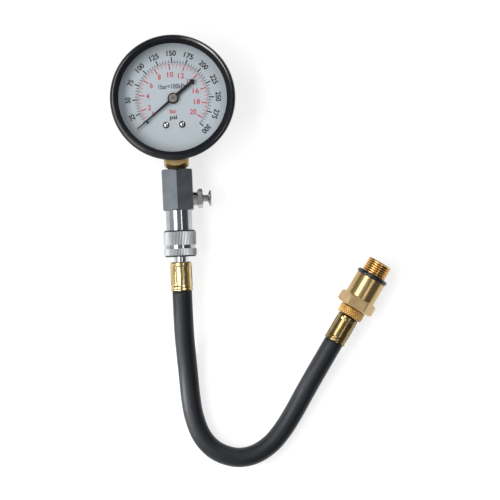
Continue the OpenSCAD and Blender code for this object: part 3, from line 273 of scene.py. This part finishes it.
def add_piece(name, data, material, body):
    """Links a mesh as a piece that rides on a body and takes its finish from a slot."""
    piece = bpy.data.objects.new(name, data)
    scene.collection.objects.link(piece)
    data.materials.clear()
    data.materials.append(material)
    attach(piece, body)
    return piece


def mesh_of(name, points, faces, smooth=True):
    """A mesh of the given points and faces."""
    data = bpy.data.meshes.new(name)
    data.from_pydata(points, [], faces)
    data.validate()
    data.update()
    data.polygons.foreach_set("use_smooth", [smooth] * len(data.polygons))
    return data


# Hose: the route of the solid in millimetres, as a round tube from ferrule to ferrule

HOSE_R = 5.25 * MM
HOSE_STEPS = 6
HOSE_SIDES = 40
NEAR = (0, -101.8, 12)
FAR = (80, -132.4, 9)
HOSE_ROUTE = [
    (0, -115, 11.2), (0.1, -126, 9.4), (0.6, -137, 7.4), (1.2, -148, 5.9), (1.8, -158.5, 5.4),
    (3.2, -169.5, 5.3), (7, -180.5, 5.3), (14, -188.5, 5.3), (24, -192.6, 5.3), (34, -191.8, 5.3),
    (43.3, -186.6, 5.3), (50.4, -179, 5.3), (56.5, -170.2, 5.4), (62.5, -160.3, 6), (68.5, -150.5, 7.3),
    (74.5, -141, 8.6),
]


def smooth_path(points, steps):
    """A smooth curve through the points, with the given number of steps between them."""
    last = len(points) - 1
    path = []
    for i in range(last):
        a, b, c, d = points[max(i - 1, 0)], points[i], points[i + 1], points[min(i + 2, last)]
        for k in range(steps):
            t = k / steps
            path.append(0.5 * (2 * b + (c - a) * t + (2 * a - 5 * b + 4 * c - d) * t * t
                               + (3 * b - a - 3 * c + d) * t ** 3))
    return path + [points[last]]


def tube_mesh(name, path, radius, sides):
    """A closed round tube along a path that never runs straight up."""
    points, faces = [], []
    last = len(path) - 1
    for i, p in enumerate(path):
        ahead = (path[min(i + 1, last)] - path[max(i - 1, 0)]).normalized()
        side = Vector((0, 0, 1)).cross(ahead).normalized()
        up = ahead.cross(side)
        for k in range(sides):
            a = 2 * math.pi * k / sides
            points.append(p + radius * (math.cos(a) * side + math.sin(a) * up))
    for i in range(last):
        for k in range(sides):
            n = (k + 1) % sides
            faces.append((i * sides + k, i * sides + n, (i + 1) * sides + n, (i + 1) * sides + k))
    faces.append(tuple(reversed(range(sides))))
    faces.append(tuple(last * sides + k for k in range(sides)))
    return mesh_of(name, points, faces)


route = [Vector(p) * MM for p in [NEAR, *HOSE_ROUTE, FAR]]
hose_path = smooth_path(route, HOSE_STEPS)
hose = add_piece("rubber_hose", tube_mesh("rubber_hose", hose_path, HOSE_R, HOSE_SIDES),
                 hose_rubber, "hose_body")
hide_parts("hose")


# Threaded and knurled forms on the adapter's axis

AXIS = Vector((math.cos(math.radians(ADAPTER_ANGLE)), math.sin(math.radians(ADAPTER_ANGLE)), 0))
UP = Vector((0, 0, 1))
SIDE = UP.cross(AXIS)
FAR_MOUTH = Vector(FAR) * MM
THREAD = (41.2 * MM, 48.7 * MM)
THREAD_R = 7.0 * MM
THREAD_PITCH = 1.25 * MM
THREAD_DEPTH = 0.767 * MM
THREAD_CREST, THREAD_ROOT = 0.8, 0.1
THREAD_CHAMFER = 0.4 * MM
THREAD_END_R = 6.2 * MM
THREAD_CORE_R = 5.5 * MM
THREAD_ROWS, THREAD_SIDES = 84, 96
HEX = (20.45 * MM, 26.95 * MM)
HEX_CHAMFER = 0.3 * MM
HEX_CORNER_ANGLE = math.radians(50)
COLLAR = (15.4 * MM, 20.4 * MM)
COLLAR_R = 7.0 * MM
COLLAR_BEVEL = 0.5 * MM
COLLAR_CORE_R = 5.8 * MM
KNURL_DEPTH = 0.45 * MM
KNURL_LEAD = 1.7 * MM
KNURLS = 30
KNURL_ROWS, KNURL_SIDES = 40, 8 * KNURLS
# Limits for cutting faces out, joining points and shading corners
SHARP_ANGLE = math.radians(22)
INSET = 0.02 * MM
WELD = 0.001 * MM
TINY = 0.0001 * MM
PARALLEL = 0.999


def on_axis(point):
    """Distance along the adapter's axis from the hose's lower end, and distance from the axis."""
    away = Vector(point) - FAR_MOUTH
    along = away.dot(AXIS)
    return along, (away - along * AXIS).length


def wave(x):
    """Triangle wave from 0 to 1 and back, with period 1."""
    return abs(2 * (x % 1) - 1)


def thread_radius(angle, v):
    """Radius of the thread, with flat crests and roots, and a chamfer at its end."""
    ridge = wave(v / THREAD_PITCH - angle / (2 * math.pi))
    cut = THREAD_DEPTH * min(max((THREAD_CREST - ridge) / (THREAD_CREST - THREAD_ROOT), 0), 1)
    if v > THREAD[1] - TINY:
        return THREAD_END_R
    return min(THREAD_R - cut, THREAD_R - THREAD_CHAMFER + THREAD[1] - v)


def knurl_radius(angle, v):
    """Radius of the collar's diamond knurl, with a bevel at both ends."""
    turns = KNURLS * angle / (2 * math.pi)
    lead = (v - COLLAR[0]) / KNURL_LEAD
    ridge = min(wave(turns + lead), wave(turns - lead))
    bevel = max(COLLAR[0] + COLLAR_BEVEL - v, v - COLLAR[1] + COLLAR_BEVEL, 0)
    return COLLAR_R - KNURL_DEPTH * (1 - min(2 * ridge, 1)) - bevel


def turned_wall(radius, v0, v1, rows, sides):
    """Points and faces of a wall round the adapter's axis, with its radius given by a function."""
    points, faces = [], []
    for i in range(rows + 1):
        v = v0 + (v1 - v0) * i / rows
        for k in range(sides):
            a = 2 * math.pi * k / sides
            points.append(FAR_MOUTH + v * AXIS + radius(a, v) * (math.cos(a) * SIDE + math.sin(a) * UP))
    for i in range(rows):
        for k in range(sides):
            n = (k + 1) % sides
            faces.append((i * sides + k, (i + 1) * sides + k, (i + 1) * sides + n, i * sides + n))
    return points, faces


def break_corners(made, width):
    """Chamfers the long corners of a hex on the adapter's axis."""
    corners = [edge for edge in made.edges
               if edge.is_manifold and edge.calc_face_angle() > HEX_CORNER_ANGLE
               and abs((edge.verts[1].co - edge.verts[0].co).normalized().dot(AXIS)) > PARALLEL]
    bmesh.ops.bevel(made, geom=corners, offset=width, segments=1, affect="EDGES")


def recut(name, source, material, wall, span, core_r, chamfer=0.0):
    """A piece with the form of a solid whose wall outside a core is cut anew over a span."""
    made = bmesh.new()
    made.from_mesh(nodes[source].data)
    bmesh.ops.remove_doubles(made, verts=made.verts, dist=WELD)
    gone = []
    for face in made.faces:
        v = on_axis(face.calc_center_median())[0]
        outside = min(on_axis(p.co)[1] for p in face.verts) > core_r
        if outside and span[0] + INSET < v < span[1] - INSET:
            gone.append(face)
    bmesh.ops.delete(made, geom=gone, context="FACES")
    if chamfer:
        break_corners(made, chamfer)
    points, faces = wall
    added = [made.verts.new(p) for p in points]
    for face in faces:
        made.faces.new([added[i] for i in face])
    data = bpy.data.meshes.new(name)
    made.to_mesh(data)
    made.free()
    data.attributes.remove(data.attributes["custom_normal"])
    data.polygons.foreach_set("use_smooth", [True] * len(data.polygons))
    data.set_sharp_from_angle(angle=SHARP_ANGLE)
    piece = add_piece(name, data, material, "hose_body")
    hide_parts(source)
    return piece


thread_wall = turned_wall(thread_radius, *THREAD, THREAD_ROWS, THREAD_SIDES)
adapter = recut("threaded_adapter", "adapter", turned_brass, thread_wall,
                THREAD, THREAD_CORE_R, HEX_CHAMFER)
knurl_wall = turned_wall(knurl_radius, *COLLAR, KNURL_ROWS, KNURL_SIDES)
collar = recut("knurled_fitting", "hose_end_fitting", knurl_brass, knurl_wall,
               COLLAR, COLLAR_CORE_R)

# The thread is deeper in colour than the turned cylinder, and the hex is dull
finish_span(adapter.data, thread_brass, lambda middle: on_axis(middle)[0] > THREAD[0] + INSET)
finish_span(adapter.data, hex_brass, lambda middle: HEX[0] < on_axis(middle)[0] < HEX[1])


# Places of the colour sockets on a mix node
MIX_A, MIX_B, MIX_RESULT = 6, 7, 2
# The share of a form's height above which no painted shade darkens its colour
UNSHADED_SHARE = 0.8


def darken_roots(material, start, along, root_r, crest_r, shade):
    """Paints shade into a material towards the roots of a form cut round an axis, darker in its hollows."""
    tree = material.node_tree
    shader = tree.nodes["Principled BSDF"]
    color = shader.inputs["Base Color"].links[0].from_socket
    place = node(tree, "ShaderNodeTexCoord").outputs["Object"]
    away = node(tree, "ShaderNodeVectorMath", {0: place, 1: start}, operation="SUBTRACT")
    round_axis = node(tree, "ShaderNodeVectorMath", {0: away.outputs["Vector"], 1: along},
                      operation="CROSS_PRODUCT")
    distance = node(tree, "ShaderNodeVectorMath", {0: round_axis.outputs["Vector"]}, operation="LENGTH")
    height = node(tree, "ShaderNodeMapRange", {
        "Value": distance.outputs["Value"], "From Min": root_r, "From Max": crest_r}).outputs["Result"]
    root_shade_ramp = blend_colors(tree, height, [(0.0, shade), (UNSHADED_SHARE, (1, 1, 1))])
    mixed = node(tree, "ShaderNodeMix", {"Factor": 1.0}, data_type="RGBA", blend_type="MULTIPLY")
    tree.links.new(color, mixed.inputs[MIX_A])
    tree.links.new(root_shade_ramp, mixed.inputs[MIX_B])
    tree.links.new(mixed.outputs[MIX_RESULT], shader.inputs["Base Color"])


STEM_AXIS = (0, -1, 0)
STEM_START = (0, 0, 12 * MM)
SLEEVE_R = 8.75 * MM
SLEEVE_RIDGE = 0.3 * MM
# Painted shade in the roots of the thread, the collar's knurl and the sleeve's ridges, where the hollows
# are shadowed
darken_roots(thread_brass, FAR_MOUTH, AXIS, THREAD_R - THREAD_DEPTH, THREAD_R, (0.46, 0.32, 0.18))
darken_roots(knurl_brass, FAR_MOUTH, AXIS, COLLAR_R - KNURL_DEPTH, COLLAR_R, (0.10, 0.06, 0.03))
darken_roots(bright_ridges, STEM_START, STEM_AXIS, SLEEVE_R - SLEEVE_RIDGE, SLEEVE_R, (0.1, 0.1, 0.11))


# Springs, each copied as a piece of its own: the piece, the node, the body that holds it,
# the joint that presses it, the way it stands out, and the travel

SPRINGS = [
    ("valve_coil", "valve_spring", "gauge_body", "button_press", Vector((1, 0, 0)), 1.5 * MM),
    ("sleeve_coil", "sleeve_spring", "gauge_body", "sleeve_slide", Vector((0, -1, 0)), 2.8 * MM),
    ("check_valve_coil", "check_valve_spring", "hose_body", "check_valve_open", AXIS, 1.2 * MM),
]
coils = {}
for name, source, body, joint, outward, travel in SPRINGS:
    coils[name] = add_piece(name, nodes[source].data.copy(), steel, body)
    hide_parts(source)
    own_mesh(coils[name])


# Dial printing

DIAL_TOP = 21.2 * MM
PRINT_Z = DIAL_TOP + 0.03 * MM
ZERO_ANGLE = 225
DEGREES_PER_PSI = 0.9
PSI_PER_BAR = 14.5038
FULL_PSI, FULL_BAR = 300, 20


def polar(r, degrees):
    """The point at a distance and an angle from the dial's middle."""
    a = math.radians(degrees)
    return Vector((r * math.cos(a), r * math.sin(a), 0))


def psi_angle(psi):
    """The angle of a pressure on the scale, in degrees."""
    return ZERO_ANGLE - DEGREES_PER_PSI * psi


def add_tick(points, faces, degrees, r0, r1, width):
    """Adds a straight mark from one radius to another."""
    side = polar(width / 2, degrees + 90)
    start = len(points)
    points += [polar(r0, degrees) - side, polar(r1, degrees) - side,
               polar(r1, degrees) + side, polar(r0, degrees) + side]
    faces.append((start, start + 1, start + 2, start + 3))


def add_arc(points, faces, r, width, a0, a1, steps=120):
    """Adds a ring line between two angles."""
    start = len(points)
    for i in range(steps + 1):
        a = a0 + (a1 - a0) * i / steps
        points += [polar(r - width / 2, a), polar(r + width / 2, a)]
    for i in range(steps):
        p = start + 2 * i
        faces.append((p + 2, p + 3, p + 1, p))


def printed(name, points, faces, material):
    """A printed piece that lies just over the dial."""
    raised = [p + Vector((0, 0, PRINT_Z)) for p in points]
    return add_piece(name, mesh_of(name, raised, faces, smooth=False), material, "gauge_body")


def add_text(points, faces, words, centre, height, width, degrees=0.0, weight=0.0):
    """Adds the words as flat faces, fitted to a height and width about their middle."""
    curve = bpy.data.curves.new("words", "FONT")
    curve.body = words
    curve.size = 1.0
    curve.offset = weight
    curve.resolution_u = 4
    holder = bpy.data.objects.new("words", curve)
    scene.collection.objects.link(holder)
    bpy.context.view_layer.update()
    flat = bpy.data.meshes.new_from_object(holder.evaluated_get(bpy.context.evaluated_depsgraph_get()))
    xs = [v.co.x for v in flat.vertices]
    ys = [v.co.y for v in flat.vertices]
    middle = Vector(((min(xs) + max(xs)) / 2, (min(ys) + max(ys)) / 2, 0))
    size = (width / (max(xs) - min(xs)), height / (max(ys) - min(ys)), 1)
    turn = Matrix.Rotation(math.radians(degrees), 3, "Z")
    start = len(points)
    for v in flat.vertices:
        off = v.co - middle
        points.append(centre + turn @ Vector((off.x * size[0], off.y * size[1], 0)))
    faces += [tuple(start + i for i in face.vertices) for face in flat.polygons]
    bpy.data.objects.remove(holder)
    bpy.data.curves.remove(curve)
    bpy.data.meshes.remove(flat)


# The printed scales begin where the pointer rests
SCALE_START = 218.3
PSI_LINE_R, PSI_LINE_W = 18.95 * MM, 0.16 * MM
PSI_TICK_R, PSI_MAJOR_R, PSI_MINOR_R = 19.0 * MM, 21.7 * MM, 20.3 * MM
PSI_MAJOR_W, PSI_MINOR_W = 0.62 * MM, 0.3 * MM
PSI_STEP, PSI_MAJOR_STEP, PSI_FIRST = 5, 25, 10
points, faces = [], []
for psi in range(PSI_FIRST, FULL_PSI + 1, PSI_STEP):
    major = psi % PSI_MAJOR_STEP == 0
    add_tick(points, faces, psi_angle(psi), PSI_TICK_R, PSI_MAJOR_R if major else PSI_MINOR_R,
             PSI_MAJOR_W if major else PSI_MINOR_W)
add_arc(points, faces, PSI_LINE_R, PSI_LINE_W, SCALE_START, psi_angle(FULL_PSI))
printed("psi_scale", points, faces, print_black)

BAR_LINE_R, BAR_LINE_W = 18.25 * MM, 0.2 * MM
BAR_TICK_R, BAR_MAJOR_R, BAR_MINOR_R = 18.2 * MM, 15.2 * MM, 16.7 * MM
BAR_MAJOR_W, BAR_MINOR_W = 0.6 * MM, 0.28 * MM
BAR_FIRST, BAR_MAJOR_STEP = 1, 2
points, faces = [], []
for half_bar in range(2 * BAR_FIRST, 2 * FULL_BAR + 1):
    bar = half_bar / 2
    major = bar % BAR_MAJOR_STEP == 0
    add_tick(points, faces, psi_angle(bar * PSI_PER_BAR), BAR_MAJOR_R if major else BAR_MINOR_R, BAR_TICK_R,
             BAR_MAJOR_W if major else BAR_MINOR_W)
add_arc(points, faces, BAR_LINE_R, BAR_LINE_W, SCALE_START, psi_angle(FULL_BAR * PSI_PER_BAR))
printed("bar_scale", points, faces, print_red)

# Numbers and unit words, each fitted to the width that the print has
DIGIT_W, DIGIT_GAP = 1.75 * MM, 0.2 * MM
PSI_NUMBER_R, PSI_NUMBER_H = 23.9 * MM, 2.9 * MM
BAR_NUMBER_R, BAR_WIDE_NUMBER_R, BAR_NUMBER_H = 13.4 * MM, 12.7 * MM, 2.8 * MM
ZERO_SHIFT = 2
WORDS_X = -0.2 * MM
# Unit words: how far up the dial their middle is, their height and their width
PSI_WORD = (-10.3 * MM, 2.8 * MM, 3.8 * MM)
BAR_WORD = (-6.7 * MM, 2.4 * MM, 3.7 * MM)
UNIT_NOTE = (6.4 * MM, 2.6 * MM, 14.4 * MM)


def number_width(words):
    """The width of a printed number, by its count of digits."""
    return DIGIT_W * len(words) - DIGIT_GAP


def add_words(points, faces, words, layout, weight):
    """Adds unit words to the middle of the dial."""
    middle_y, height, width = layout
    add_text(points, faces, words, Vector((WORDS_X, middle_y, 0)), height, width, weight=weight)


points, faces = [], []
for psi in range(PSI_MAJOR_STEP, FULL_PSI + 1, PSI_MAJOR_STEP):
    words = str(psi)
    angle = psi_angle(psi)
    add_text(points, faces, words, polar(PSI_NUMBER_R, angle), PSI_NUMBER_H, number_width(words),
             degrees=angle - 90, weight=0.03)
add_words(points, faces, "psi", PSI_WORD, weight=0.028)
printed("psi_numbers", points, faces, print_black)

points, faces = [], []
for bar in range(0, FULL_BAR + 1, BAR_MAJOR_STEP):
    words = str(bar)
    angle = psi_angle(bar * PSI_PER_BAR) if bar else SCALE_START - ZERO_SHIFT
    number_r = BAR_NUMBER_R if len(words) == 1 else BAR_WIDE_NUMBER_R
    add_text(points, faces, words, polar(number_r, angle), BAR_NUMBER_H, number_width(words), weight=0.02)
add_words(points, faces, "bar", BAR_WORD, weight=0.02)
printed("bar_numbers", points, faces, print_red)

points, faces = [], []
add_words(points, faces, "1bar=100kPa", UNIT_NOTE, weight=0.012)
printed("unit_note", points, faces, print_black)

# Dial screws with domed heads, each in a ring pressed into the dial. Their profiles are in millimetres

SCREW_X, SCREW_Y = 4.25 * MM, -13.9 * MM
HEAD_R, HEAD_H, HEAD_RIM = 1.8, 1.0, 0.15
SHANK_R, SHANK_END = 1.0, -5.0
PRESSED_RING = [(1.95, -0.1), (2.1, 0.0), (2.5, 0.09), (2.8, 0.1), (3.1, -0.1), (1.95, -0.1)]
TURN_STEPS = 48
HEAD_SHARP_ANGLE = math.radians(30)


def dome_profile(steps=10):
    """Radius and height of a round head in millimetres, from its rim to its top."""
    rise = HEAD_H - HEAD_RIM
    sphere_r = (HEAD_R ** 2 + rise ** 2) / (2 * rise)
    rim_angle = math.asin(HEAD_R / sphere_r)
    angles = [rim_angle * (1 - i / steps) for i in range(steps)]
    return [(sphere_r * math.sin(a), HEAD_H - sphere_r + sphere_r * math.cos(a)) for a in angles]


def add_turned(points, faces, centre, profile, capped):
    """Adds the surface that a profile in millimetres sweeps round an upright axis."""
    start = len(points)
    for r, z in profile:
        for k in range(TURN_STEPS):
            points.append(centre + polar(r * MM, 360 * k / TURN_STEPS) + Vector((0, 0, z * MM)))
    for i in range(len(profile) - 1):
        low, high = start + i * TURN_STEPS, start + (i + 1) * TURN_STEPS
        for k in range(TURN_STEPS):
            n = (k + 1) % TURN_STEPS
            faces.append((low + k, low + n, high + n, high + k))
    if capped:
        faces.append(tuple(start + k for k in reversed(range(TURN_STEPS))))
        faces.append(tuple(len(points) - TURN_STEPS + k for k in range(TURN_STEPS)))


SCREW_PROFILE = [(SHANK_R, SHANK_END), (SHANK_R, 0), (HEAD_R, 0), *dome_profile()]
heads, rings = ([], []), ([], [])
for side in (-1, 1):
    centre = Vector((side * SCREW_X, SCREW_Y, DIAL_TOP))
    add_turned(*heads, centre, SCREW_PROFILE, capped=True)
    add_turned(*rings, centre, PRESSED_RING, capped=False)
screws = add_piece("domed_dial_screws", mesh_of("domed_dial_screws", *heads), dome_chrome,
                   "gauge_body")
screws.data.set_sharp_from_angle(angle=HEAD_SHARP_ANGLE)
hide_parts("dial_screws")
add_piece("pressed_rings", mesh_of("pressed_rings", *rings), dial_paint, "gauge_body")

# Floor, light and surroundings

FLOOR_REACH = 4
FLOOR_DROP = 0.1 * MM
FLOOR_GREY = (0.34, 0.34, 0.34, 1)
FLOOR_GLOW = 0.72

corners = [(x * FLOOR_REACH, y * FLOOR_REACH, 0) for x, y in ((-1, -1), (1, -1), (1, 1), (-1, 1))]
floor = bpy.data.objects.new("floor", mesh_of("floor", corners, [(0, 1, 2, 3)], smooth=False))
floor.location.z = -FLOOR_DROP
scene.collection.objects.link(floor)
floor_material = bpy.data.materials.new("floor")
floor_material.use_nodes = True
tree = floor_material.node_tree
shader = tree.nodes["Principled BSDF"]
shader.inputs["Base Color"].default_value = FLOOR_GREY
shader.inputs["Roughness"].default_value = 0.9
shader.inputs["Specular IOR Level"].default_value = 0.0
shader.inputs["Emission Color"].default_value = (1, 1, 1, 1)
# The floor glows where it is seen or mirrored, and throws no light of its own on the part
path_kind = node(tree, "ShaderNodeLightPath").outputs
mirrored = node(tree, "ShaderNodeMath", {
    0: path_kind["Is Glossy Ray"], 1: path_kind["Is Transmission Ray"]}, operation="MAXIMUM").outputs[0]
seen = node(tree, "ShaderNodeMath", {
    0: path_kind["Is Camera Ray"], 1: mirrored}, operation="MAXIMUM").outputs[0]
glow = node(tree, "ShaderNodeMath", {0: seen, 1: FLOOR_GLOW}, operation="MULTIPLY").outputs[0]
tree.links.new(glow, shader.inputs["Emission Strength"])
floor.data.materials.append(floor_material)


def softbox(name, location, target, size, power, beam=180):
    """A soft lamp turned to a target, with its beam's width in degrees."""
    lamp = bpy.data.objects.new(name, bpy.data.lights.new(name, "AREA"))
    lamp.data.shape = "RECTANGLE"
    lamp.data.size, lamp.data.size_y = size
    lamp.data.energy = power
    lamp.data.spread = math.radians(beam)
    lamp.location = location
    lamp.rotation_euler = (Vector(target) - Vector(location)).to_track_quat("-Z", "Y").to_euler()
    lamp.visible_camera = False
    scene.collection.objects.link(lamp)
    return lamp


PART_MIDDLE = (0.03, -0.08, 0)
HEAD_MIDDLE = (0.0, 0.0, 0.02)
HOSE_TURN = (0.0, -0.165, 0.006)
softbox("key_box", (-0.6, -0.05, 1.05), PART_MIDDLE, (1.3, 0.48), 11.0)
softbox("thin_strip", (0.47, -0.1, 1.05), PART_MIDDLE, (1.2, 0.12), 1.4)
softbox("back_panel", (0.36, 0.7, 0.7), HEAD_MIDDLE, (0.45, 0.6), 3.4)
rim_panel = softbox("rim_panel", (0.20, 0.36, 0.90), HEAD_MIDDLE, (0.15, 0.5), 3.6)
softbox("low_box", (-0.3, -0.165, 0.12), HOSE_TURN, (0.08, 0.08), 0.05, beam=20)

# The rim panel lights the bezel alone, as a flagged lamp does
rim_lit = bpy.data.collections.new("rim_lit")
rim_lit.objects.link(nodes["bezel"])
rim_panel.light_linking.receiver_collection = rim_lit

# The studio is lightest at the left and the front
SKY = [
    (0.0, (0.55, 0.56, 0.58)), (0.2, (0.48, 0.49, 0.51)), (0.42, (0.27, 0.28, 0.29)),
    (0.6, (0.2, 0.21, 0.22)), (0.74, (0.09, 0.09, 0.1)), (0.96, (0.09, 0.09, 0.1)), (1.0, (0.2, 0.2, 0.21)),
]
FRONT_STRENGTH, BACK_STRENGTH = 2.0, 0.2

world = bpy.data.worlds.new("studio")
scene.world = world
world.use_nodes = True
tree = world.node_tree
direction = node(tree, "ShaderNodeTexCoord").outputs["Generated"]
parts = node(tree, "ShaderNodeSeparateXYZ", {"Vector": direction}).outputs
from_left = node(tree, "ShaderNodeMapRange", {
    "Value": parts["X"], "From Min": -1.0, "From Max": 1.0}).outputs["Result"]
tree.links.new(blend_colors(tree, from_left, SKY), tree.nodes["Background"].inputs["Color"])
from_front = node(tree, "ShaderNodeMapRange", {
    "Value": parts["Y"], "From Min": -1.0, "From Max": 1.0,
    "To Min": FRONT_STRENGTH, "To Max": BACK_STRENGTH}).outputs["Result"]
tree.links.new(from_front, tree.nodes["Background"].inputs["Strength"])

scene.view_settings.view_transform = "Standard"
